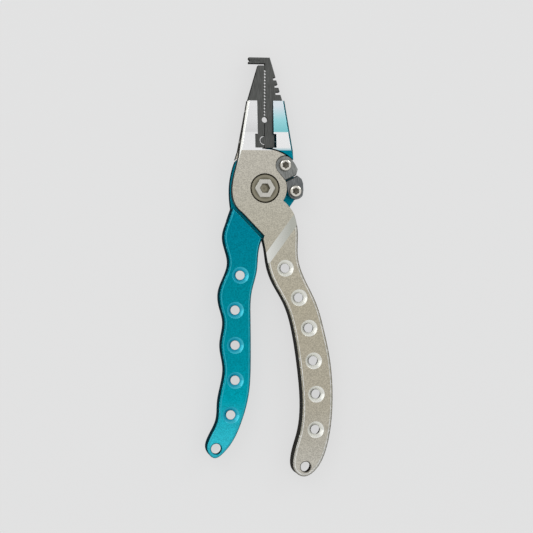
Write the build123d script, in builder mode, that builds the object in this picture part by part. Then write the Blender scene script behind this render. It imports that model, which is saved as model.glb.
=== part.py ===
from build123d import *
from math import atan2, cos, degrees, radians, sin, sqrt
import os

# Fishing pliers lying flat. +Z is up out of the front face, +Y runs to the nose, +X to the
# cutters. The origin is on the pivot's axis, in the plane of the rear face. Millimetres.
# The silver half is the left jaw and the right handle and lies in front at the lap joint;
# the teal half is the right jaw and the left handle and lies behind it.

# ---- driving dimensions ----
HEAD = 12.0  # thickness of the head
LAP_GAP = 0.2  # room for the shim between the two lap plates
STEP = 1.0  # the handle faces lie this far below the head faces
HANDLE_FRONT = HEAD - STEP
HANDLE_BACK = STEP
LAP_BACK = (HEAD - LAP_GAP) / 2  # front of the teal lap plate
LAP_FRONT = (HEAD + LAP_GAP) / 2  # back of the silver lap plate

LAP_R = 17.7  # convex end of a lap plate
JAW_R = 18.3  # concave arc of the other jaw that runs round it
CUTAWAY_R = 10.0  # cut-away of the silver plate for the lower cutter
STOP_DIST = 15.0  # pivot to the straight lower edge of a lap plate
SHOULDER_DIST = 16.6  # pivot to the handle shoulder that faces that edge
EDGE_NORMAL = 223.8  # degrees, outward normal of the silver plate's lower edge

FACET_Y = 17.2  # the jaws start to thin here
NOSE_Y = 40.0  # top of the aluminium cheeks
NOSE_T = 6.1  # their thickness there
CHEEK_BEVEL = 0.8
RAMP_W = 4.2  # polished ramp between the head face and the handle face
RAMP_TOP = (13.0, -12.2)  # where the ramp's upper line meets the outer edge
RAMP_TURN = 53.8  # degrees from -X to that line, anticlockwise

EDGE_ROUND = 1.1  # over both faces of a handle
CREST_BREAK = 0.35  # along its shoulder
DISH_R, DISH_DEPTH, THROAT_R = 3.8, 1.7, 2.08  # lightening holes, dished from the front
HOLE_FLARE_R = 3.3  # every handle hole opens out to this at the rear face
SILVER_HOLES = [(9.5, -36.3), (15.8, -49.7), (20.4, -63.6), (22.5, -78.5), (23.8, -93.7), (23.5, -109.9)]
TEAL_HOLES = [(-11.1, -39.5), (-13.4, -55.3), (-13.4, -71.2), (-13.4, -87.1), (-15.4, -102.8)]
SILVER_LANYARD, TEAL_LANYARD = (18.9, -126.8), (-22.1, -118.0)
LANYARD_R, LANYARD_MOUTH_R, LANYARD_BORE = 2.35, 2.8, (7.4, 10.4)

INSERT_T = 5.0  # steel jaw inserts
TIP_T = 3.8  # at the beak
TIP_Y = 59.7
SEAM_LEAN = 0.009  # the closed seam leaves the pivot's centre line by this much per mm
SEAM_GAP = 0.24  # between the two inserts when closed
TEETH, TOOTH_PITCH, TOOTH_TOP_Y, TOOTH_DEPTH = 15, 1.43, 53.6, 0.38
RELIEF, RELIEF_FRONT = 0.5, 7.2  # the gripping edges stand back behind a narrow land
POCKET_Y0, FOOT_Y, STEM_X, FOOT_X = 18.4, 24.7, 3.2, 4.4  # pocket of the silver cheek
TEAL_STEM_X, TEAL_FOOT_X = 4.15, 5.3  # pocket of the teal cheek
FIT = 0.02  # steel in its aluminium seat
INSERT_PIN_R, INSERT_PIN_Y = 1.0, (21.5, 35.5)

BLADE_BACK, BLADE_T = 8.2, 2.8
BLADE_FRONT = BLADE_BACK + BLADE_T
UPPER_SCREW, LOWER_SCREW = (9.3, 10.5), (14.0, -1.3)
SCREW_R, SCREW_HEAD_R, SCREW_HEAD_H, SCREW_KEY = 1.5, 2.75, 2.4, 2.5
THREAD_INSERT_R = 2.3
DOWEL_R = 0.8
UPPER_DOWEL, LOWER_DOWEL = (12.4, 7.6), (13.2, 2.6)
DOWEL_DEPTH, DOWEL_UP = 1.2, 1.5  # into the aluminium and into the blade
LOWER_SCREW_DEPTH = 6.0

BOLT_HEAD_R, BOLT_SEAT_R, BOLT_HEAD_BACK = 6.65, 6.72, 9.7
SHANK_R, BUSH_BORE_R, BUSH_R, BUSH_FLANGE_R = 3.5, 3.55, 4.5, 6.0
NUT_R, NUT_SEAT_R, NUT_SEAT = 6.5, 6.8, 3.0  # rear nut and its counterbore in the teal plate
BADGE_AF, BADGE_T = 8.2, 0.9

CLEAR = 130.0  # longer than either handle, for cutters that run right past one

os.makedirs("parts", exist_ok=True)


def polar(r, angle):
    """Point at radius r and angle in degrees about the pivot."""
    return (r * cos(radians(angle)), r * sin(radians(angle)))


def along(distance, offset, normal):
    """Point on the line whose distance from the pivot is given, offset along it to the left."""
    foot = polar(distance, normal)
    run = polar(offset, normal + 90)
    return (foot[0] + run[0], foot[1] + run[1])


def flip(points):
    """The same points seen from behind."""
    return [(-x, y) for x, y in points]


def seam_x(y):
    return SEAM_LEAN * y


def jaw_facets():
    """Wedges over and under the nose that thin the jaws evenly towards the tip."""
    reach = 60.0
    drop = (HEAD - NOSE_T) / 2 * (reach - FACET_Y) / (NOSE_Y - FACET_Y)
    with BuildPart() as wedges:
        with BuildSketch(Plane.YZ):
            with BuildLine():
                Polyline(
                    (FACET_Y, HEAD), (reach, HEAD - drop), (reach, HEAD + 2), (FACET_Y, HEAD + 2), close=True
                )
            make_face()
        extrude(amount=25, both=True)
        mirror(about=Plane.XY.offset(HEAD / 2))
    return wedges.part


def face_ramp():
    """Prism that slopes the head's front layer down to the handle face and ends it there."""
    away = polar(1, RAMP_TURN - 90)
    line = polar(1, RAMP_TURN + 180)
    ramp_plane = Plane(origin=(*RAMP_TOP, 0), x_dir=(*away, 0), z_dir=(*line, 0))
    with BuildPart() as prism:
        with BuildSketch(ramp_plane):
            with BuildLine():
                Polyline(
                    (0, HEAD), (RAMP_W, HANDLE_FRONT), (RAMP_W, -2), (CLEAR, -2), (CLEAR, HEAD + 2),
                    (0, HEAD + 2), close=True,
                )
            make_face()
        extrude(amount=CLEAR, both=True)
    return prism.part


def handle(crest_ends, contour):
    """Bow of a handle between its two faces, rounded over both, from its shoulder to its end."""
    with BuildPart() as bow:
        with BuildSketch(Plane.XY.offset(HANDLE_BACK)):
            with BuildLine():
                crest = Line(*crest_ends)
                Line(crest @ 1, contour[0])
                bend = Spline(*contour)
                Line(bend @ 1, crest @ 0)
            make_face()
        extrude(amount=HANDLE_FRONT - HANDLE_BACK)
        rims = bow.faces().filter_by(Plane.XY).edges().filter_by(GeomType.LINE, reverse=True)
        fillet(rims, EDGE_ROUND)
        front = bow.edges().filter_by(GeomType.LINE).group_by(Axis.Z)[-1]
        middle = crest @ 0.5
        chamfer(front.sort_by_distance((middle.X, middle.Y, HANDLE_FRONT))[0], CREST_BREAK)
    return bow.part


def round_cutter(profile):
    """Cutter for a round hole, from its radii and heights between the handle's faces."""
    ends = [(0, profile[0][1]), (0, profile[-1][1])]
    with BuildPart() as cutter:
        with BuildSketch(Plane.XZ):
            with BuildLine():
                Polyline(ends[0], *profile, ends[1], close=True)
            make_face()
        revolve(axis=Axis.Z)
    return cutter.part


def cheek_bevels(low, high):
    """Prisms along the outer edges of a cheek, front and back, that bevel them off."""
    side = 1 if low[0] > 0 else -1
    foot = Vector(*low, HEAD)
    run = Vector(*high, (HEAD + NOSE_T) / 2) - foot
    outward = Vector(run.Y, -run.X, 0) * side
    with BuildPart() as prisms:
        with BuildSketch(Plane(origin=foot, x_dir=outward, z_dir=run * -side)):
            with BuildLine():
                Polyline((-CHEEK_BEVEL - 1, 1), (1, -CHEEK_BEVEL - 1), (1, 1), close=True)
            make_face()
        extrude(amount=run.length, both=True)
        mirror(about=Plane.XY.offset(HEAD / 2))
    return prisms.part


GRIP_HOLE = round_cutter([
    (HOLE_FLARE_R, HANDLE_BACK), (THROAT_R, HANDLE_FRONT - DISH_DEPTH), (DISH_R, HANDLE_FRONT),
])
LANYARD_HOLE = round_cutter([
    (HOLE_FLARE_R, HANDLE_BACK), (LANYARD_R, LANYARD_BORE[0]), (LANYARD_R, LANYARD_BORE[1]),
    (LANYARD_MOUTH_R, HANDLE_FRONT),
])
TURN_OVER = Axis((0, 0, HEAD / 2), (0, 1, 0))
FACETS = jaw_facets()
RAMP = face_ramp()

# Edges of the handles in one run: down the outer side, round the end and up the inner side.
SILVER_CONTOUR = [
    (13.4, -11.9), (15.3, -19.5), (15.4, -31.5), (19.0, -42.3), (23.5, -51.5), (27.4, -64.5),
    (30.1, -77.3), (31.4, -92.0), (30.7, -107.5), (27.6, -121.3), (23.2, -128.6), (17.9, -131.2),
    (13.8, -128.6), (13.1, -123.2), (16.1, -111.5), (17.4, -98.0), (16.2, -82.5), (13.7, -66.0),
    (9.5, -52.2), (4.2, -42.6), (1.4, -34.0), (0.4, -27.0), (-0.7, -23.0),
]
TEAL_CONTOUR = [
    (-14.6, -9.3), (-17.0, -15.8), (-18.6, -22.0), (-16.3, -34.0), (-20.4, -46.5), (-20.3, -53.0),
    (-18.5, -60.5), (-19.8, -71.5), (-18.4, -81.5), (-20.9, -97.5), (-21.6, -105.6), (-25.6, -114.3),
    (-26.2, -118.6), (-23.0, -122.2), (-18.6, -119.8), (-11.1, -107.5), (-7.2, -93.4), (-6.3, -79.0),
    (-6.4, -58.0), (-5.8, -46.8), (-3.6, -38.0), (-2.7, -28.5), (-1.6, -24.2),
]

# ---- silver half ----
LEFT_CHEEK = [(-12.95, 10.0), (-11.5, FACET_Y), (-7.6, NOSE_Y)]
LAP_CORNER = along(STOP_DIST, 15.4, EDGE_NORMAL)
LAP_LEFT = along(STOP_DIST, 0.5, EDGE_NORMAL)
SEAT_EDGE = [(13.5, 10.2), (14.4, 8.6), (14.0, 6.2), (9.3, 3.66)]
PLATE_NOTCH = 1.2  # the lap plate ends this far from the centre line
TOP_ANGLE = degrees(atan2(sqrt(LAP_R**2 - PLATE_NOTCH**2), -PLATE_NOTCH))
LAP_END_ANGLE, JAW_END_ANGLE, LEDGE_ANGLE = 44.0, 45.2, 78.5


def left_pocket(bottom_x):
    """Inner edge of the silver cheek, from the nose down to the bottom of the insert's pocket."""
    return [
        (-STEM_X, NOSE_Y), (-STEM_X, FOOT_Y), (-FOOT_X, FOOT_Y), (-FOOT_X, POCKET_Y0), (bottom_x, POCKET_Y0)
    ]


def right_pocket(bottom_x):
    """The same on the teal cheek."""
    return [
        (TEAL_STEM_X, NOSE_Y), (TEAL_STEM_X, FOOT_Y), (TEAL_FOOT_X, FOOT_Y),
        (TEAL_FOOT_X, POCKET_Y0), (bottom_x, POCKET_Y0),
    ]


CREST = (along(SHOULDER_DIST, -15.5, 180 - EDGE_NORMAL), along(SHOULDER_DIST, 0.9, 180 - EDGE_NORMAL))
SILVER_HANDLE = handle(CREST, SILVER_CONTOUR)

with BuildPart() as silver_half:
    # front layer: left cheek and lap plate, with the neck that runs into the handle
    with BuildSketch(Plane.XY.offset(LAP_FRONT)):
        with BuildLine():
            cheek = Polyline(*LEFT_CHEEK[1:], *left_pocket(-PLATE_NOTCH), polar(LAP_R, TOP_ANGLE))
            arc = ThreePointArc(cheek @ 1, polar(LAP_R, 70), polar(LAP_R, LAP_END_ANGLE))
            seat = Polyline(arc @ 1, *SEAT_EDGE)
            cut = ThreePointArc(seat @ 1, polar(CUTAWAY_R, -6), polar(CUTAWAY_R, -34))
            ThreePointArc(cut @ 1, (11.3, -8.6), SILVER_CONTOUR[0])
            neck = Spline(*SILVER_CONTOUR[:3])
            Polyline(neck @ 1, SILVER_CONTOUR[-3], SILVER_CONTOUR[-1], LAP_CORNER)
            edge = Line(LAP_CORNER, LAP_LEFT)
            Spline(LAP_LEFT, (-14.3, -5.4), (-14.9, -0.8), (-14.2, 5.0), *LEFT_CHEEK[:2])
        make_face()
    extrude(amount=HEAD - LAP_FRONT)
    # rear layer of the left cheek, hollowed round the teal lap plate
    with BuildSketch():
        with BuildLine():
            hollow = ThreePointArc(
                polar(JAW_R, 180 - LEDGE_ANGLE), polar(JAW_R, 118), polar(JAW_R, 180 - JAW_END_ANGLE)
            )
            ledge_x = (hollow @ 0).X
            Polyline(hollow @ 1, *LEFT_CHEEK[1:], *left_pocket(ledge_x), hollow @ 0)
        make_face()
    extrude(amount=LAP_FRONT)
    add(RAMP, mode=Mode.SUBTRACT)
    add(SILVER_HANDLE)
    add(FACETS, mode=Mode.SUBTRACT)
    add(cheek_bevels(*LEFT_CHEEK[1:]), mode=Mode.SUBTRACT)
    with Locations(*SILVER_HOLES):
        add(GRIP_HOLE, mode=Mode.SUBTRACT)
    with Locations(SILVER_LANYARD):
        add(LANYARD_HOLE, mode=Mode.SUBTRACT)
    # counterbore for the bolt's head, and the hole for its shank
    with Locations((0, 0, HEAD)):
        CounterBoreHole(BUSH_BORE_R, BOLT_SEAT_R, HEAD - BOLT_HEAD_BACK, depth=HEAD)
    # seat of the upper cutter blade, with the holes for its thread insert and dowel
    with BuildSketch(Plane.XY.offset(BLADE_BACK)):
        with BuildLine():
            bend = ThreePointArc((9.3, 14.95), (4.85, 10.5), (5.86, 7.66))
            Polyline(bend @ 1, (9.1, 3.7), (18, 3.7), (18, 18), (9.3, 18), bend @ 0)
        make_face()
    extrude(amount=HEAD, mode=Mode.SUBTRACT)
    with Locations((*UPPER_SCREW, BLADE_BACK)):
        Hole(THREAD_INSERT_R)
    with Locations((*UPPER_DOWEL, BLADE_BACK)):
        Hole(DOWEL_R + FIT, depth=DOWEL_DEPTH)
    # cross holes for the insert's pins
    with Locations(*[Plane(origin=(-6.5, y, HEAD / 2), z_dir=(1, 0, 0)) for y in INSERT_PIN_Y]):
        Cylinder(INSERT_PIN_R, 14, mode=Mode.SUBTRACT)
silver_half.part.label = "silver_half"
export_step(silver_half.part, "parts/silver_half.step")

# ---- teal half ----
RIGHT_CHEEK = [(12.9, 13.0), (12.8, FACET_Y), (9.4, NOSE_Y)]
LOBE = [(14.3, -5.2), (15.9, -4.0), (16.9, -2.6), (17.1, -0.6), (16.9, 2.2), (16.2, 3.8), (14.3, 4.7)]
TEAL_BACK_LEFT = [(-14.3, 7.0), (-15.2, 0.5), (-15.1, -5.0)]

TEAL_CREST = (along(SHOULDER_DIST, 15.5, EDGE_NORMAL), along(SHOULDER_DIST, -2.2, EDGE_NORMAL))
TEAL_HANDLE = handle(TEAL_CREST, TEAL_CONTOUR)

with BuildPart() as teal_half:
    # rear layer: right cheek, lap plate with the cutter's lobe, and handle
    with BuildSketch():
        with BuildLine():
            cheek = Polyline(*RIGHT_CHEEK, *right_pocket(PLATE_NOTCH), polar(LAP_R, 180 - TOP_ANGLE))
            arc = ThreePointArc(cheek @ 1, polar(LAP_R, 110), polar(LAP_R, 180 - LAP_END_ANGLE))
            Spline(arc @ 1, *TEAL_BACK_LEFT, TEAL_CONTOUR[0])
            bend = Spline(*TEAL_CONTOUR)
            Polyline(bend @ 1, *flip([LAP_CORNER, LAP_LEFT]), LOBE[0])
            lobe = Spline(*LOBE)
            ThreePointArc(lobe @ 1, (13.6, 8.6), RIGHT_CHEEK[0])
        make_face()
    extrude(amount=LAP_BACK)
    add(RAMP.rotate(TURN_OVER, 180), mode=Mode.SUBTRACT)
    add(TEAL_HANDLE)
    # front layer of the right cheek, hollowed round the silver lap plate
    with BuildSketch(Plane.XY.offset(LAP_BACK)):
        with BuildLine():
            hollow = ThreePointArc(polar(JAW_R, LEDGE_ANGLE), polar(JAW_R, 62), polar(JAW_R, JAW_END_ANGLE))
            ledge_x = (hollow @ 0).X
            Polyline(hollow @ 1, *RIGHT_CHEEK[1:], *right_pocket(ledge_x), hollow @ 0)
        make_face()
    extrude(amount=HEAD - LAP_BACK)
    add(FACETS, mode=Mode.SUBTRACT)
    add(cheek_bevels(*RIGHT_CHEEK[1:]), mode=Mode.SUBTRACT)
    # raised pad that the lower cutter blade sits on
    with BuildSketch(Plane.XY.offset(LAP_BACK)):
        with BuildLine():
            pad = ThreePointArc(*[polar(CUTAWAY_R + 0.3, angle) for angle in (17.5, 3, -11)])
            Polyline(pad @ 1, (12.1, -3.7), (14.0, -4.6), *LOBE[1:6], (14.9, 5.0), pad @ 0)
        make_face()
    extrude(amount=BLADE_BACK - LAP_BACK)
    with Locations(*TEAL_HOLES):
        add(GRIP_HOLE, mode=Mode.SUBTRACT)
    with Locations(TEAL_LANYARD):
        add(LANYARD_HOLE, mode=Mode.SUBTRACT)
    # counterbore for the rear nut and disc spring, and the bore for the bush
    with Locations(Plane(origin=(0, 0, 0), z_dir=(0, 0, -1))):
        CounterBoreHole(BUSH_R, NUT_SEAT_R, NUT_SEAT, depth=HEAD)
    with Locations((*LOWER_SCREW, BLADE_BACK)):
        Hole(THREAD_INSERT_R, depth=LOWER_SCREW_DEPTH)
    with Locations((*LOWER_DOWEL, BLADE_BACK)):
        Hole(DOWEL_R + FIT, depth=DOWEL_DEPTH)
    with Locations(*[Plane(origin=(7.5, y, HEAD / 2), z_dir=(1, 0, 0)) for y in INSERT_PIN_Y]):
        Cylinder(INSERT_PIN_R, 14, mode=Mode.SUBTRACT)
teal_half.part.label = "teal_half"
export_step(teal_half.part, "parts/teal_half.step")


# ---- jaw inserts ----
def tip_facets():
    """Wedges over and under the beak, which is thinner than the insert's stem."""
    middle, reach = HEAD / 2, 70.0
    drop = (INSERT_T - TIP_T) / 2 * (reach - NOSE_Y) / (TIP_Y - NOSE_Y)
    top = middle + INSERT_T / 2
    with BuildPart() as wedges:
        with BuildSketch(Plane.YZ):
            with BuildLine():
                Polyline((NOSE_Y, top), (reach, top - drop), (reach, top + 2), (NOSE_Y, top + 2), close=True)
            make_face()
        extrude(amount=25, both=True)
        mirror(about=Plane.XY.offset(middle))
    return wedges.part


TIP_FACETS = tip_facets()
INSERT_PLANE = Plane.XY.offset((HEAD - INSERT_T) / 2)
TOOTH_YS = [TOOTH_TOP_Y - TOOTH_PITCH * i for i in range(TEETH)]
WIRE_HOLE = (seam_x(31.3), 31.3)  # round crimping hole on the seam
WIRE_HOLE_R = 1.3
BOSS, BOSS_R, NEST_R = (0.2, 22.0), 1.7, 2.15  # crimping boss and the nest that it closes into


def seam_edge(side, y):
    """Point on the gripping edge of the insert on the given side (-1 left, 1 right)."""
    return (seam_x(y) + side * SEAM_GAP / 2, y)


def cut_teeth(side):
    """V grooves across the gripping edge, inside a BuildSketch."""
    for y in TOOTH_YS:
        x = seam_edge(side, y)[0]
        groove = [(x - side * 0.1, y - 0.5), (x + side * TOOTH_DEPTH, y), (x - side * 0.1, y + 0.5)]
        Polygon(*groove, align=None, mode=Mode.SUBTRACT)


def seam_relief():
    """Cutter behind the narrow land of the gripping edges, with the flared back of the wire hole."""
    back = (HEAD - INSERT_T) / 2
    depth = RELIEF_FRONT - back
    width = SEAM_GAP + 2 * (TOOTH_DEPTH + RELIEF)
    bottom_y = TOOTH_YS[-1] - TOOTH_PITCH / 2
    length = TOOTH_TOP_Y + TOOTH_PITCH / 2 - bottom_y
    with BuildPart() as cutter:
        with Locations((seam_x(bottom_y + length / 2), bottom_y + length / 2, back)):
            Box(width, length, depth, align=(Align.CENTER, Align.CENTER, Align.MIN))
        with Locations((*WIRE_HOLE, back)):
            Cone(WIRE_HOLE_R + RELIEF, WIRE_HOLE_R, depth, align=(Align.CENTER, Align.CENTER, Align.MIN))
        with Locations((*BOSS, back)):
            Cylinder(NEST_R, depth, align=(Align.CENTER, Align.CENTER, Align.MIN))
    return cutter.part


SEAM_RELIEF = seam_relief()

with BuildPart() as left_jaw_insert:
    with BuildSketch(INSERT_PLANE):
        with BuildLine():
            Polyline(
                (-2.6, 56.1), seam_edge(-1, 56.1), seam_edge(-1, POCKET_Y0 + FIT),
                (FIT - FOOT_X, POCKET_Y0 + FIT), (FIT - FOOT_X, FOOT_Y - FIT), (FIT - STEM_X, FOOT_Y - FIT),
                (FIT - STEM_X, NOSE_Y + FIT), (-7.3, NOSE_Y + FIT), close=True,
            )
        make_face()
        cut_teeth(-1)
        with Locations(WIRE_HOLE):
            Circle(WIRE_HOLE_R, mode=Mode.SUBTRACT)
        with Locations(BOSS):
            Circle(NEST_R, mode=Mode.SUBTRACT)
    extrude(amount=INSERT_T)
    add(TIP_FACETS, mode=Mode.SUBTRACT)
    add(SEAM_RELIEF, mode=Mode.SUBTRACT)
    with Locations(*[Plane(origin=(-5.5, y, HEAD / 2), z_dir=(1, 0, 0)) for y in INSERT_PIN_Y]):
        Cylinder(INSERT_PIN_R, 6, mode=Mode.SUBTRACT)
left_jaw_insert.part.label = "left_jaw_insert"
export_step(left_jaw_insert.part, "parts/left_jaw_insert.step")

SLOTS = [(4.2, 49.35, 50.65), (4.9, 46.0, 47.35), (5.3, 42.75, 44.1)]  # inner end and the two sides
SLOT_REACH = 6.0
BEAK_LOW, BEAK_END = 57.0, -6.9

with BuildPart() as right_jaw_insert:
    with BuildSketch(INSERT_PLANE):
        with BuildLine():
            Polyline(
                (BEAK_END, BEAK_LOW), (BEAK_END, BEAK_LOW + 0.75), (BEAK_END + 0.55, BEAK_LOW + 1.3),
                (BEAK_END, TIP_Y - 0.75), (BEAK_END, TIP_Y), (2.7, TIP_Y), (8.4, NOSE_Y + FIT),
                (TEAL_STEM_X - 0.15, NOSE_Y + FIT), (TEAL_STEM_X - 0.15, FOOT_Y - FIT),
                (TEAL_FOOT_X - 0.5, FOOT_Y - FIT), (TEAL_FOOT_X - 0.5, POCKET_Y0 + 0.1),
                seam_edge(1, POCKET_Y0 + 0.1), seam_edge(1, BEAK_LOW), close=True,
            )
        make_face()
        cut_teeth(1)
        with Locations(BOSS):
            Circle(BOSS_R)
        with Locations(WIRE_HOLE):
            Circle(WIRE_HOLE_R, mode=Mode.SUBTRACT)
        for inner_x, low, high in SLOTS:
            with Locations((inner_x, (low + high) / 2)):
                Rectangle(SLOT_REACH, high - low, align=(Align.MIN, Align.CENTER), mode=Mode.SUBTRACT)
    extrude(amount=INSERT_T)
    add(TIP_FACETS, mode=Mode.SUBTRACT)
    add(SEAM_RELIEF, mode=Mode.SUBTRACT)
    # groove along the beak's two faces
    for z in ((HEAD + TIP_T) / 2, (HEAD - TIP_T) / 2):
        with Locations((BEAK_END + 2.2, BEAK_LOW + 1.3, z)):
            Box(5.4, 0.7, 0.7, mode=Mode.SUBTRACT)
    with Locations(*[Plane(origin=(5.2, y, HEAD / 2), z_dir=(1, 0, 0)) for y in INSERT_PIN_Y]):
        Cylinder(INSERT_PIN_R, 6, mode=Mode.SUBTRACT)
right_jaw_insert.part.label = "right_jaw_insert"
export_step(right_jaw_insert.part, "parts/right_jaw_insert.step")


# ---- pins through the cheeks into the inserts ----
def cross_pins(inner_x, outer_xs):
    """Dowels along X, one at each pin height, from the cheek's outer edge to the insert."""
    with BuildPart() as pins:
        for y, outer_x in zip(INSERT_PIN_Y, outer_xs):
            with Locations(Plane(origin=((inner_x + outer_x) / 2, y, HEAD / 2), z_dir=(1, 0, 0))):
                Cylinder(INSERT_PIN_R, abs(outer_x - inner_x))
    return pins.part


left_insert_pins = cross_pins(-2.6, (-10.3, -8.0))
left_insert_pins.label = "left_insert_pins"
export_step(left_insert_pins, "parts/left_insert_pins.step")
right_insert_pins = cross_pins(2.4, (11.6, 9.6))
right_insert_pins.label = "right_insert_pins"
export_step(right_insert_pins, "parts/right_insert_pins.step")


# ---- cutters ----
CUTTER_BEVEL = 0.5

with BuildPart() as upper_cutter_blade:
    with BuildSketch(Plane.XY.offset(BLADE_BACK)):
        with BuildLine():
            nose = ThreePointArc((12.0, 13.8), (6.55, 13.6), (6.0, 7.85))
            Polyline(nose @ 1, (9.62, 3.62), (14.4, 6.0), (15.15, 8.7), (13.95, 11.0), nose @ 0)
        make_face()
    extrude(amount=BLADE_T)
    with Locations((*UPPER_SCREW, BLADE_FRONT)):
        Hole(SCREW_R + 0.1)
    with Locations((*UPPER_DOWEL, BLADE_BACK)):
        Cylinder(DOWEL_R + FIT, 2 * DOWEL_UP, mode=Mode.SUBTRACT)
    chamfer(upper_cutter_blade.edges().sort_by_distance((11.9, 4.8, BLADE_FRONT))[0], CUTTER_BEVEL)
upper_cutter_blade.part.label = "upper_cutter_blade"
export_step(upper_cutter_blade.part, "parts/upper_cutter_blade.step")

with BuildPart() as lower_cutter_blade:
    with BuildSketch(Plane.XY.offset(BLADE_BACK)):
        with BuildLine():
            heel = ThreePointArc((17.4, -3.1), (14.5, -4.95), (10.9, -2.3))
            Polyline(
                heel @ 1, (10.3, 0.2), (9.85, 3.3), (14.9, 5.9), (16.9, 4.4), (17.6, 2.4),
                (17.75, -0.9), heel @ 0,
            )
        make_face()
    extrude(amount=BLADE_T)
    with Locations((*LOWER_SCREW, BLADE_FRONT)):
        Hole(SCREW_R + 0.1)
    with Locations((*LOWER_DOWEL, BLADE_BACK)):
        Cylinder(DOWEL_R + FIT, 2 * DOWEL_UP, mode=Mode.SUBTRACT)
    chamfer(lower_cutter_blade.edges().sort_by_distance((12.4, 4.6, BLADE_FRONT))[0], CUTTER_BEVEL)
lower_cutter_blade.part.label = "lower_cutter_blade"
export_step(lower_cutter_blade.part, "parts/lower_cutter_blade.step")


def cap_screw(place, shank_end):
    """Socket cap screw that holds a blade, standing on the blade's face."""
    key_r = SCREW_KEY / 2 / cos(radians(30))
    with BuildPart() as screw:
        with BuildSketch(Plane.XY.offset(BLADE_FRONT)):
            with Locations(place):
                Circle(SCREW_HEAD_R)
        extrude(amount=SCREW_HEAD_H)
        chamfer(screw.edges().group_by(Axis.Z)[-1], 0.35)
        with BuildSketch(Plane.XY.offset(shank_end)):
            with Locations(place):
                Circle(SCREW_R)
        extrude(amount=BLADE_FRONT - shank_end)
        with BuildSketch(Plane.XY.offset(BLADE_FRONT + SCREW_HEAD_H)):
            with Locations(place):
                RegularPolygon(key_r, 6)
        extrude(amount=-1.4, mode=Mode.SUBTRACT)
    return screw.part


def tube(place, z0, z1, outer_r, inner_r):
    """Plain round tube standing along Z."""
    with BuildPart() as body:
        with BuildSketch(Plane.XY.offset(z0)):
            with Locations(place):
                Circle(outer_r)
                if inner_r:
                    Circle(inner_r, mode=Mode.SUBTRACT)
        extrude(amount=z1 - z0)
    return body.part


UPPER_INSERT_END = LAP_FRONT + 0.2
LOWER_INSERT_END = BLADE_BACK - LOWER_SCREW_DEPTH
cutter_fixings = {
    "upper_cutter_screw": cap_screw(UPPER_SCREW, UPPER_INSERT_END),
    "lower_cutter_screw": cap_screw(LOWER_SCREW, LOWER_INSERT_END + 1),
    "upper_cutter_thread_insert": tube(UPPER_SCREW, UPPER_INSERT_END, BLADE_BACK, THREAD_INSERT_R, SCREW_R),
    "lower_cutter_thread_insert": tube(LOWER_SCREW, LOWER_INSERT_END, BLADE_BACK, THREAD_INSERT_R, SCREW_R),
    "upper_cutter_dowel": tube(UPPER_DOWEL, BLADE_BACK - DOWEL_DEPTH, BLADE_BACK + DOWEL_UP, DOWEL_R, 0),
    "lower_cutter_dowel": tube(LOWER_DOWEL, BLADE_BACK - DOWEL_DEPTH, BLADE_BACK + DOWEL_UP, DOWEL_R, 0),
}
for name, piece in cutter_fixings.items():
    piece.label = name
    export_step(piece, f"parts/{name}.step")

# ---- pivot ----
BADGE_R = BADGE_AF / 2 / cos(radians(30))
BADGE_BACK = HEAD - 0.55
KEY_R = 4.0 / 2 / cos(radians(30))
NUT_BACK, NUT_FRONT = 0.0, 1.9
FLANGE_BACK = NUT_SEAT - 0.6

with BuildPart() as pivot_bolt:
    Cylinder(SHANK_R, BOLT_HEAD_BACK, align=(Align.CENTER, Align.CENTER, Align.MIN))
    with Locations((0, 0, BOLT_HEAD_BACK)):
        Cylinder(BOLT_HEAD_R, HEAD - BOLT_HEAD_BACK, align=(Align.CENTER, Align.CENTER, Align.MIN))
    chamfer(pivot_bolt.edges().group_by(Axis.Z)[-1], 0.6)
    with BuildSketch(Plane.XY.offset(HEAD)):
        RegularPolygon(BADGE_R, 6)
    extrude(amount=BADGE_BACK - HEAD, mode=Mode.SUBTRACT)
    with BuildSketch(Plane.XY.offset(BADGE_BACK)):
        RegularPolygon(KEY_R, 6)
    extrude(amount=-2.5, mode=Mode.SUBTRACT)
pivot_bolt.part.label = "pivot_bolt"
export_step(pivot_bolt.part, "parts/pivot_bolt.step")

with BuildPart() as pivot_badge:
    with BuildSketch(Plane.XY.offset(BADGE_BACK)):
        RegularPolygon(BADGE_R - FIT, 6)
        RegularPolygon(KEY_R, 6, mode=Mode.SUBTRACT)
    extrude(amount=BADGE_T)
    chamfer(pivot_badge.edges().group_by(Axis.Z)[-1], 0.2)
pivot_badge.part.label = "pivot_badge"
export_step(pivot_badge.part, "parts/pivot_badge.step")

with BuildPart() as pivot_nut:
    Cylinder(NUT_R, NUT_FRONT, align=(Align.CENTER, Align.CENTER, Align.MIN))
    chamfer(pivot_nut.edges().group_by(Axis.Z)[0], 0.4)
    Hole(SHANK_R)
    with PolarLocations(5.0, 2):
        Cylinder(0.7, 2.4, mode=Mode.SUBTRACT)
pivot_nut.part.label = "pivot_nut"
export_step(pivot_nut.part, "parts/pivot_nut.step")

with BuildPart() as pivot_bush:
    with BuildSketch(Plane.XZ):
        with BuildLine():
            Polyline(
                (BUSH_BORE_R, FLANGE_BACK), (BUSH_FLANGE_R, FLANGE_BACK), (BUSH_FLANGE_R, NUT_SEAT),
                (BUSH_R, NUT_SEAT), (BUSH_R, LAP_BACK), (BUSH_BORE_R, LAP_BACK), close=True,
            )
        make_face()
    revolve(axis=Axis.Z)
pivot_bush.part.label = "pivot_bush"
export_step(pivot_bush.part, "parts/pivot_bush.step")

with BuildPart() as disc_spring:
    with BuildSketch(Plane.XZ):
        with BuildLine():
            Polyline((3.6, 2.08), (5.8, 1.92), (5.8, 2.2), (3.6, 2.36), close=True)
        make_face()
    revolve(axis=Axis.Z)
disc_spring.part.label = "disc_spring"
export_step(disc_spring.part, "parts/disc_spring.step")

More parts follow.
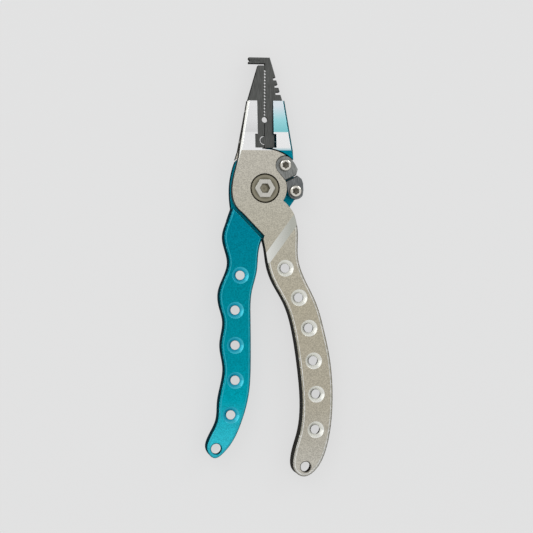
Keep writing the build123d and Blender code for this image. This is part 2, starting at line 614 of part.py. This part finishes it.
lap_shim = tube((0, 0), LAP_BACK + 0.02, LAP_FRONT, 9.0, BUSH_BORE_R)
lap_shim.label = "lap_shim"
export_step(lap_shim, "parts/lap_shim.step")
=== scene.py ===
from math import atan, cos, pi, radians, sin

import bpy
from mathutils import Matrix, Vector


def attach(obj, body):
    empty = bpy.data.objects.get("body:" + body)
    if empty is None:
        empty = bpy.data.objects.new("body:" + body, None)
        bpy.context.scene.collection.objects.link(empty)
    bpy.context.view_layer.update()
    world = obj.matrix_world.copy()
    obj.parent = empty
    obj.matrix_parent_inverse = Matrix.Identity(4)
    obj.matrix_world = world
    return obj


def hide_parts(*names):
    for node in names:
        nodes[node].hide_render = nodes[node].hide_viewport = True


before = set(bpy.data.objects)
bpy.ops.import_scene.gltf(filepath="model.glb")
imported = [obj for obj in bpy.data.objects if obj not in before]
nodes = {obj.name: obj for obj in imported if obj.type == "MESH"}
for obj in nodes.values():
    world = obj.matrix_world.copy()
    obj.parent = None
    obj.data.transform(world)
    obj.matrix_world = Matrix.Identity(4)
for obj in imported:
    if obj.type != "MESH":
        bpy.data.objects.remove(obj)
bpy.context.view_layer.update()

MM = 0.001


# ---- Studio ----
# Pale seamless paper under a white tent that is bright down to the horizon, with three softboxes
# for the shadows and edges. The floor gives off most of its own tone, so the tool shades it faintly.
def linear(hex_colour):
    """sRGB hex to linear RGBA."""
    value = hex_colour.lstrip("#")
    parts = [int(value[i:i + 2], 16) / 255 for i in (0, 2, 4)]
    return (*[p / 12.92 if p <= 0.04045 else ((p + 0.055) / 1.055) ** 2.4 for p in parts], 1.0)


def node(tree, kind, links=None, **settings):
    """Adds a node; links maps each input's name or index to a value or to another node's output."""
    made = tree.nodes.new(kind)
    for key, value in settings.items():
        setattr(made, key, value)
    for key, value in (links or {}).items():
        if isinstance(value, bpy.types.NodeSocket):
            tree.links.new(value, made.inputs[key])
        else:
            made.inputs[key].default_value = value
    return made


def material(name):
    """An empty node material and its tree."""
    made = bpy.data.materials.new(name)
    made.use_nodes = True
    made.node_tree.nodes.clear()
    return made, made.node_tree


def tone_ramp(tree, factor, stops):
    """Colour ramp over a 0-1 factor from (place, sRGB hex) stops."""
    made = node(tree, "ShaderNodeValToRGB", {0: factor})
    elements = made.color_ramp.elements
    while len(elements) < len(stops):
        elements.new(0.5)
    for element, (place, tone) in zip(elements, stops):
        element.position = place
        element.color = linear(tone)
    return made.outputs[0]


FLOOR_TONE = "#e2e2e2"
FLOOR_HALF = 3.0
FLOOR_DROP = 0.2 * MM  # a hair of room, so that no rear face lies in the floor
floor_mesh = bpy.data.meshes.new("floor")
corners = [(x * FLOOR_HALF, y * FLOOR_HALF, 0) for x, y in ((-1, -1), (1, -1), (1, 1), (-1, 1))]
floor_mesh.from_pydata(corners, [], [(0, 1, 2, 3)])
floor = bpy.data.objects.new("floor", floor_mesh)
floor.location.z = -FLOOR_DROP
bpy.context.scene.collection.objects.link(floor)
floor.visible_glossy = False
paper, tree = material("pale_paper_floor")
paper_surface = node(tree, "ShaderNodeBsdfPrincipled", {
    "Base Color": linear("#6e6e6e"), "Roughness": 0.9, "Specular IOR Level": 0.1,
    "Emission Color": linear(FLOOR_TONE), "Emission Strength": 0.825,
})
node(tree, "ShaderNodeOutputMaterial", {"Surface": paper_surface.outputs[0]})
floor_mesh.materials.append(paper)

CAMERA_TARGET = Vector((0.7, -35.5, 11.5)) * MM
CAMERA_DISTANCE = 0.75
CAMERA_LEFT = radians(8.2)
VIEW_WIDTH = 0.2417
camera_data = bpy.data.cameras.new("camera")
camera_data.angle = 2 * atan(VIEW_WIDTH / 2 / CAMERA_DISTANCE)
camera = bpy.data.objects.new("camera", camera_data)
camera.location = CAMERA_TARGET + CAMERA_DISTANCE * Vector((-sin(CAMERA_LEFT), 0, cos(CAMERA_LEFT)))
camera.rotation_euler = (0, -CAMERA_LEFT, 0)
bpy.context.scene.collection.objects.link(camera)
bpy.context.scene.camera = camera


def softbox(name, place, size, watts, aim=(0, -0.03, 0)):
    """Rectangular area light that faces its aim."""
    data = bpy.data.lights.new(name, "AREA")
    data.shape = "RECTANGLE"
    data.size, data.size_y = size
    data.energy = watts
    lamp = bpy.data.objects.new(name, data)
    lamp.location = place
    lamp.rotation_euler = (Vector(place) - Vector(aim)).to_track_quat("Z", "Y").to_euler()
    bpy.context.scene.collection.objects.link(lamp)


softbox("overhead", (-0.50, 0.60, 1.0), (0.5, 0.5), 1.5)
softbox("left_strip", (-0.95, 0.30, 0.18), (1.1, 0.24), 0.6)
softbox("right_strip", (0.75, 0.65, 0.75), (0.5, 0.2), 1.0)

# the tent: brightest just above the horizon and overhead, greyer between, and dark below
world = bpy.data.worlds.new("studio")
world.use_nodes = True
tree = world.node_tree
tree.nodes.clear()
ray = node(tree, "ShaderNodeTexCoord").outputs["Generated"]
height = node(tree, "ShaderNodeSeparateXYZ", {0: ray}).outputs["Z"]
rise = node(tree, "ShaderNodeMapRange", {"Value": height, 1: -0.25, 2: 1.0})
tent = tone_ramp(tree, rise.outputs[0], [
    (0.05, "#2c2c2c"), (0.14, "#646464"), (0.24, "#f4f4f4"), (0.60, "#c8c9ca"), (0.9, "#e2e3e4"),
    (1.0, "#f0f0f0"),
])
sky = node(tree, "ShaderNodeBackground", {"Color": tent, "Strength": 1.0})
node(tree, "ShaderNodeOutputWorld", {"Surface": sky.outputs[0]})
bpy.context.scene.world = world
bpy.context.scene.view_settings.view_transform = "Standard"


# ---- Silver and teal halves ----
# Each half is one plate machined from aluminium bar, bead-blasted all over and anodised; the ramp
# under the head, the jaw facets, the holes' dishes and the broken edges are cut bright afterwards.
def sharpen(tree, value, low, high):
    """1 where a value lies between two bounds, else 0."""
    over = node(tree, "ShaderNodeMath", {0: value, 1: low}, operation="GREATER_THAN")
    under = node(tree, "ShaderNodeMath", {0: value, 1: high}, operation="LESS_THAN")
    both = node(tree, "ShaderNodeMath", {0: over.outputs[0], 1: under.outputs[0]}, operation="MULTIPLY")
    return both.outputs[0]


def blend(tree, factor, first, second):
    """Mix of two colours, each given as sRGB hex or as another node's output."""
    first, second = (linear(tone) if isinstance(tone, str) else tone for tone in (first, second))
    return node(tree, "ShaderNodeMix", {0: factor, 6: first, 7: second}, data_type="RGBA").outputs[2]


def eased_normal(tree, radius):
    """Normal that leans outwards near a sharp edge, as on an edge broken with a file."""
    return node(tree, "ShaderNodeBevel", {"Radius": radius}, samples=6).outputs[0]


# upright part of the normal: facets lean by 7 degrees, the ramp by 13, dishes and bevels by 45, and
# walls by 90
FACET_LEAN, RAMP_LEAN, RIM_LEAN, WALL_LEAN = (0.985, 0.9965), (0.965, 0.985), (0.63, 0.775), 0.40
HALF_FROM_Y, HALF_TO_Y = -130 * MM, 20 * MM
FACET_FROM_Y, FACET_TO_Y = 16 * MM, 41 * MM
RAMP_FROM_X, RAMP_TO_X = 12 * MM, 1 * MM
GRAIN_SIZE = 0.45 * MM  # the blasting's dimples are finer and are drawn as coarse as shows
RIM_SHINE = 0.55  # the dishes and bevels are turned less finely than the facets are polished


def blasted_aluminium(name, face_tones, slope_with_painted_highlight, facet_tones, dish, painted_wall_shade):
    """Bead-blasted anodised aluminium: a dull face with a fine sparkle, bright where it is cut, and tones
    that carry painted light, shade and reflection.
    """
    made, tree = material(name)
    place = node(tree, "ShaderNodeTexCoord").outputs["Object"]
    parts = node(tree, "ShaderNodeSeparateXYZ", {0: place})
    northing = parts.outputs["Y"]
    grain = node(tree, "ShaderNodeTexNoise", {"Vector": place, "Scale": 1 / GRAIN_SIZE, "Detail": 3.0})
    spread = node(tree, "ShaderNodeMapRange", {"Value": grain.outputs["Fac"], 1: 0.38, 2: 0.62})
    speck = blend(tree, spread.outputs[0], "#dadada", "#ffffff")
    # the face's tone along the half carries painted light and shade
    length = node(tree, "ShaderNodeMapRange", {"Value": northing, 1: HALF_FROM_Y, 2: HALF_TO_Y})
    film_with_painted_light = tone_ramp(tree, length.outputs[0], face_tones)
    speckled = node(tree, "ShaderNodeMix", {0: 1.0, 6: film_with_painted_light, 7: speck},
                    data_type="RGBA", blend_type="MULTIPLY")
    dull = speckled.outputs[2]
    true_normal = node(tree, "ShaderNodeNewGeometry").outputs["True Normal"]
    true_up = node(tree, "ShaderNodeSeparateXYZ", {0: true_normal})
    lean = node(tree, "ShaderNodeMath", {0: true_up.outputs["Z"]}, operation="ABSOLUTE").outputs[0]
    facet = sharpen(tree, lean, *FACET_LEAN)
    ramp = sharpen(tree, lean, *RAMP_LEAN)
    rim = sharpen(tree, lean, *RIM_LEAN)
    side = node(tree, "ShaderNodeMath", {0: lean, 1: WALL_LEAN}, operation="LESS_THAN").outputs[0]
    run = node(tree, "ShaderNodeMapRange", {"Value": northing, 1: FACET_FROM_Y, 2: FACET_TO_Y})
    # across the ramp its tone runs from the first to the second given colour: on the silver half a painted
    # highlight at its left end
    across = node(tree, "ShaderNodeMapRange", {"Value": parts.outputs["X"], 1: RAMP_FROM_X, 2: RAMP_TO_X})
    colour = blend(tree, ramp, dull, blend(tree, across.outputs[0], slope_with_painted_highlight[0], slope_with_painted_highlight[1]))
    colour = blend(tree, facet, colour, tone_ramp(tree, run.outputs[0], facet_tones))
    colour = blend(tree, rim, colour, dish)
    # painted shade: the side walls take a darker tone
    colour = blend(tree, side, colour, painted_wall_shade)
    flat_cuts = node(tree, "ShaderNodeMath", {0: facet, 1: ramp}, operation="ADD").outputs[0]
    softer_rim = node(tree, "ShaderNodeMath", {0: rim, 1: RIM_SHINE}, operation="MULTIPLY").outputs[0]
    bright = node(tree, "ShaderNodeMath", {0: flat_cuts, 1: softer_rim}, operation="ADD").outputs[0]
    rough = node(tree, "ShaderNodeMapRange", {"Value": bright, 3: 0.46, 4: 0.13})
    dent = node(tree, "ShaderNodeMapRange", {"Value": bright, 3: 0.5, 4: 0.0})
    bump = node(tree, "ShaderNodeBump", {
        "Strength": dent.outputs[0], "Distance": 0.03 * MM, "Height": grain.outputs["Fac"],
        "Normal": eased_normal(tree, 0.3 * MM),
    })
    surface = node(tree, "ShaderNodeBsdfPrincipled", {
        "Base Color": colour, "Metallic": 1.0, "Roughness": rough.outputs[0], "Normal": bump.outputs[0],
    })
    node(tree, "ShaderNodeOutputMaterial", {"Surface": surface.outputs[0]})
    return made


def paint(names, finish):
    """Gives CAD pieces their finish."""
    for name in names:
        nodes[name].data.materials.clear()
        nodes[name].data.materials.append(finish)


# along the facets, from where they start to the nose, with the break half way; these tones stand in
# for what the polish mirrors
SILVER_FACET = [(0.0, "#f8f8f8"), (0.37, "#f4f4f4"), (0.39, "#e4e4e4"), (0.6, "#f0f0f0"), (1.0, "#f6f6f6")]
TEAL_FACET = [(0.02, "#34afc3"), (0.1, "#fbfbfb"), (0.375, "#fdfdfd"), (0.39, "#88d4da"), (0.6, "#a6e6ec"),
              (0.86, "#e9f3fa"), (1.0, "#eef6fc")]
# along each half, from the end of its handle to the head: the anodised colour with painted light and shade,
# lightest at the handle's end
SILVER_FILM_WITH_PAINTED_LIGHT = [(0.0, "#dcd8cd"), (0.11, "#cec9bb"), (0.2, "#cac3b1"), (0.5, "#cac2ad"), (0.79, "#d0cbbb"),
               (0.93, "#d5d0c3")]
TEAL_FILM_WITH_PAINTED_LIGHT = [(0.0, "#46dcee"), (0.107, "#3ad6e8"), (0.227, "#04b6c7"), (0.333, "#03a4b6"), (0.56, "#039aab"),
             (0.74, "#0393aa")]
# the silver ramp brightens to a painted highlight at its left end
paint(["silver_half"], blasted_aluminium(
    "bead_blasted_silver_aluminium", SILVER_FILM_WITH_PAINTED_LIGHT, ("#c4c5bb", "#f4f4ee"), SILVER_FACET, "#f2f2ec", "#8f8c84"))
paint(["teal_half"], blasted_aluminium(
    "bead_blasted_teal_aluminium", TEAL_FILM_WITH_PAINTED_LIGHT, ("#3fb6c6", "#3fb6c6"), TEAL_FACET, "#4cc8da", "#0a7a90"))


# ---- Jaw inserts and their pins ----
# Stainless steel inserts, ground flat, toothed along the seam and given a dark coating; two dowels
# through each aluminium cheek hold them. The grinding leaves faint lines along the jaws.
def ground_steel(name, dark, light, rough, across, along):
    """Flat-ground steel: a grey face with fine lines left by the wheel."""
    made, tree = material(name)
    place = node(tree, "ShaderNodeTexCoord").outputs["Object"]
    stretch = (1 / across, 1 / along, 1 / across)
    lines_place = node(tree, "ShaderNodeMapping", {"Vector": place, "Scale": stretch})
    lines = node(tree, "ShaderNodeTexNoise", {"Vector": lines_place.outputs[0], "Scale": 1.0, "Detail": 3.0})
    spread = node(tree, "ShaderNodeMapRange", {"Value": lines.outputs["Fac"], 1: 0.35, 2: 0.65})
    bump = node(tree, "ShaderNodeBump", {
        "Strength": 0.3, "Distance": 0.02 * MM, "Height": lines.outputs["Fac"],
        "Normal": eased_normal(tree, 0.2 * MM),
    })
    surface = node(tree, "ShaderNodeBsdfPrincipled", {
        "Base Color": blend(tree, spread.outputs[0], dark, light), "Metallic": 1.0, "Roughness": rough,
        "Normal": bump.outputs[0],
    })
    node(tree, "ShaderNodeOutputMaterial", {"Surface": surface.outputs[0]})
    return made


paint(["left_jaw_insert", "right_jaw_insert"],
      ground_steel("coated_insert_steel", "#515250", "#666765", 0.38, 0.25 * MM, 4 * MM))


# ---- Cutter blades ----
# Two ground blocks of tool steel, one screwed to each half. The cutting edges meet in a notch, and
# the lower block is given the darker tone of the two.
GRIND_ACROSS, GRIND_ALONG = 0.3 * MM, 2.5 * MM
paint(["upper_cutter_blade"],
      ground_steel("ground_blade_steel", "#747674", "#989a97", 0.3, GRIND_ACROSS, GRIND_ALONG))
paint(["lower_cutter_blade"],
      ground_steel("darker_blade_steel", "#616465", "#808383", 0.3, GRIND_ACROSS, GRIND_ALONG))


# ---- Cutter screws and their hidden fixings ----
# Stainless socket cap screws, knurled round the head, that go through each blade into a threaded
# steel sleeve; a small dowel beside each one keeps the blade from turning.
def plain_steel(name, tone, rough):
    """Turned or rolled stainless steel with a faint unevenness in its shine."""
    made, tree = material(name)
    place = node(tree, "ShaderNodeTexCoord").outputs["Object"]
    grain = node(tree, "ShaderNodeTexNoise", {"Vector": place, "Scale": 1 / (0.4 * MM), "Detail": 2.0})
    spread = node(tree, "ShaderNodeMapRange", {
        "Value": grain.outputs["Fac"], 1: 0.3, 2: 0.7, 3: rough - 0.05, 4: rough + 0.05,
    })
    surface = node(tree, "ShaderNodeBsdfPrincipled", {
        "Base Color": linear(tone), "Metallic": 1.0, "Roughness": spread.outputs[0],
        "Normal": eased_normal(tree, 0.12 * MM),
    })
    node(tree, "ShaderNodeOutputMaterial", {"Surface": surface.outputs[0]})
    return made


# below these heights the screw's colour darkens: painted shade in the key socket and low on the head
SHADE_BELOW, UNSHADED_ABOVE = 12.2 * MM, 13.15 * MM


def screw_steel():
    """Polished stainless top and rim; rougher in the key socket and low on the knurled side, and darker there
    with painted shade.
    """
    made, tree = material("polished_screw_steel")
    place = node(tree, "ShaderNodeTexCoord").outputs["Object"]
    height = node(tree, "ShaderNodeSeparateXYZ", {0: place}).outputs["Z"]
    unshaded_and_polished = node(tree, "ShaderNodeMapRange", {"Value": height, 1: SHADE_BELOW, 2: UNSHADED_ABOVE})
    rough = node(tree, "ShaderNodeMapRange", {"Value": unshaded_and_polished.outputs[0], 3: 0.5, 4: 0.14})
    surface = node(tree, "ShaderNodeBsdfPrincipled", {
        "Base Color": blend(tree, unshaded_and_polished.outputs[0], "#7a766c", "#dedbd2"), "Metallic": 1.0,
        "Roughness": rough.outputs[0], "Normal": eased_normal(tree, 0.1 * MM),
    })
    node(tree, "ShaderNodeOutputMaterial", {"Surface": surface.outputs[0]})
    return made


stainless = plain_steel("stainless_steel", "#c4c0b6", 0.2)
paint(["left_insert_pins", "right_insert_pins", "disc_spring", "upper_cutter_thread_insert",
       "lower_cutter_thread_insert", "upper_cutter_dowel", "lower_cutter_dowel"], stainless)

SIDES = 48


def turned(name, rings, place):
    """Closed round piece from (radius, height, hexagonal) rings in mm, lowest first, capped at both ends."""
    points = []
    for radius, height, hexagonal in rings:
        for step in range(SIDES):
            angle = 2 * pi * step / SIDES
            reach = radius / cos((angle + pi / 6) % (pi / 3) - pi / 6) if hexagonal else radius
            points.append((place[0] + reach * cos(angle), place[1] + reach * sin(angle), height))
    faces = []
    for ring in range(len(rings) - 1):
        for step in range(SIDES):
            low, after = ring * SIDES, (step + 1) % SIDES
            faces.append((low + step, low + after, low + SIDES + after, low + SIDES + step))
    faces.append(tuple(reversed(range(SIDES))))
    top = (len(rings) - 1) * SIDES
    faces.append(tuple(range(top, top + SIDES)))
    mesh = bpy.data.meshes.new(name)
    mesh.from_pydata([tuple(value * MM for value in point) for point in points], [], faces)
    piece = bpy.data.objects.new(name, mesh)
    bpy.context.scene.collection.objects.link(piece)
    return piece


def knurl_tree():
    """Ring of upright ridges round a screw head, joined to the screw."""
    tree = bpy.data.node_groups.new("knurled_head", "GeometryNodeTree")
    tree.is_modifier = True
    for label, kind in (("Geometry", "Geometry"), ("Centre", "Vector"), ("Head Radius", "Float"),
                        ("Ridge Count", "Int"), ("Ridge Radius", "Float"), ("Ridge Height", "Float"),
                        ("Finish", "Material")):
        tree.interface.new_socket(label, in_out="INPUT", socket_type="NodeSocket" + kind)
    tree.interface.new_socket("Geometry", in_out="OUTPUT", socket_type="NodeSocketGeometry")
    given = node(tree, "NodeGroupInput").outputs
    ring = node(tree, "GeometryNodeMeshCircle", {
        "Vertices": given["Ridge Count"], "Radius": given["Head Radius"],
    })
    seated = node(tree, "GeometryNodeSetPosition", {"Geometry": ring.outputs[0], "Offset": given["Centre"]})
    ridge = node(tree, "GeometryNodeMeshCylinder", {
        "Vertices": 6, "Radius": given["Ridge Radius"], "Depth": given["Ridge Height"],
    })
    ridges = node(tree, "GeometryNodeInstanceOnPoints", {
        "Points": seated.outputs[0], "Instance": ridge.outputs[0],
    })
    joined = node(tree, "GeometryNodeJoinGeometry")
    tree.links.new(ridges.outputs[0], joined.inputs[0])
    tree.links.new(given["Geometry"], joined.inputs[0])
    real = node(tree, "GeometryNodeRealizeInstances", {0: joined.outputs[0]})
    finished = node(tree, "GeometryNodeSetMaterial", {
        "Geometry": real.outputs[0], "Material": given["Finish"],
    })
    node(tree, "NodeGroupOutput", {0: finished.outputs[0]})
    return tree


def shaped(piece, tree, sizes):
    """Runs a geometry tree on a piece and keeps the result as its plain mesh."""
    modifier = piece.modifiers.new(tree.name, "NODES")
    modifier.node_group = tree
    for item in tree.interface.items_tree:
        if item.in_out == "INPUT" and item.name in sizes:
            modifier[item.identifier] = sizes[item.name]
    mesh = bpy.data.meshes.new_from_object(piece.evaluated_get(bpy.context.evaluated_depsgraph_get()))
    piece.modifiers.clear()
    piece.data = mesh


knurl, polished = knurl_tree(), screw_steel()
# millimetres; the knurl's ridges bring the head out to its full width
HEAD_R, HEAD_LOW, HEAD_TOP = 2.62, 11.0, 13.4
SHANK_R, TIP_R, TIP_BEVEL = 1.5, 1.2, 0.4
RIM_DROPS = ((0.0, 0.5), (0.18, 0.14), (0.5, 0.0))  # how far the rim has come in, and how far it is down
KEY, KEY_MOUTH, KEY_LEAD, KEY_LEAD_DEPTH = 1.27, 0.42, 0.1, 0.22
KEY_TOP, KEY_DEPTH, DRILL_DEPTH, DRILL_R = 0.35, 1.6, 2.1, 0.2
RIDGE_COUNT, RIDGE_R, RIDGE_HEIGHT, RIDGE_MIDDLE = 30, 0.13, 1.6, 0.95
SCREWS = [
    ("upper_cutter_screw", (9.3, 10.5), 6.3, "silver_side"),
    ("lower_cutter_screw", (14.0, -1.3), 3.2, "teal_side"),
]
for name, place, end, body in SCREWS:
    shank = [(TIP_R, end, False), (SHANK_R, end + TIP_BEVEL, False), (SHANK_R, HEAD_LOW, False)]
    rim = [(HEAD_R - inward, HEAD_TOP - drop, False) for inward, drop in RIM_DROPS]
    head = [(HEAD_R, HEAD_LOW, False)] + rim
    socket = [
        (KEY + KEY_MOUTH, HEAD_TOP, False), (KEY + KEY_LEAD, HEAD_TOP - KEY_LEAD_DEPTH, True),
        (KEY, HEAD_TOP - KEY_TOP, True), (KEY, HEAD_TOP - KEY_DEPTH, True),
        (DRILL_R, HEAD_TOP - DRILL_DEPTH, False),
    ]
    screw = turned(name + "_turned", shank + head + socket, place)
    shaped(screw, knurl, {
        "Centre": (place[0] * MM, place[1] * MM, (HEAD_LOW + RIDGE_MIDDLE) * MM), "Head Radius": HEAD_R * MM,
        "Ridge Count": RIDGE_COUNT, "Ridge Radius": RIDGE_R * MM, "Ridge Height": RIDGE_HEIGHT * MM,
        "Finish": polished,
    })
    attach(screw, body)
    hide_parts(name)


# ---- Pivot ----
# Turned stainless bolt with fine facing rings and a bevelled rim, a satin hexagonal badge set in
# its head, a nut sunk in the rear, and a bronze bush and shim that the halves turn on.
RING_PITCH = 2.2 * MM  # the tool's marks are far finer and are drawn as coarse as shows
WAVE_TURN = 20  # radians that a wave texture turns through over each unit of its scale


def faced_steel(name, dark, light, rough):
    """Steel faced on a lathe: rings about the pivot that fan the light out."""
    made, tree = material(name)
    place = node(tree, "ShaderNodeTexCoord").outputs["Object"]
    rings = node(tree, "ShaderNodeTexWave", {
        "Vector": place, "Scale": 2 * pi / (WAVE_TURN * RING_PITCH), "Distortion": 0.0,
    }, wave_type="RINGS", rings_direction="Z")
    bump = node(tree, "ShaderNodeBump", {
        "Strength": 0.25, "Distance": 0.02 * MM, "Height": rings.outputs["Fac"],
        "Normal": eased_normal(tree, 0.2 * MM),
    })
    tangent = node(tree, "ShaderNodeTangent", direction_type="RADIAL", axis="Z")
    surface = node(tree, "ShaderNodeBsdfPrincipled", {
        "Base Color": blend(tree, rings.outputs["Fac"], dark, light), "Metallic": 1.0, "Roughness": rough,
        "Anisotropic": 0.6, "Normal": bump.outputs[0], "Tangent": tangent.outputs[0],
    })
    node(tree, "ShaderNodeOutputMaterial", {"Surface": surface.outputs[0]})
    return made


paint(["pivot_bolt", "pivot_nut"], faced_steel("faced_pivot_steel", "#767262", "#928d7c", 0.3))
paint(["pivot_badge"], ground_steel("satin_badge_steel", "#c2c0b8", "#d2d0c8", 0.34, 0.25 * MM, 3 * MM))
paint(["pivot_bush", "lap_shim"], plain_steel("bearing_bronze", "#a8763c", 0.35))
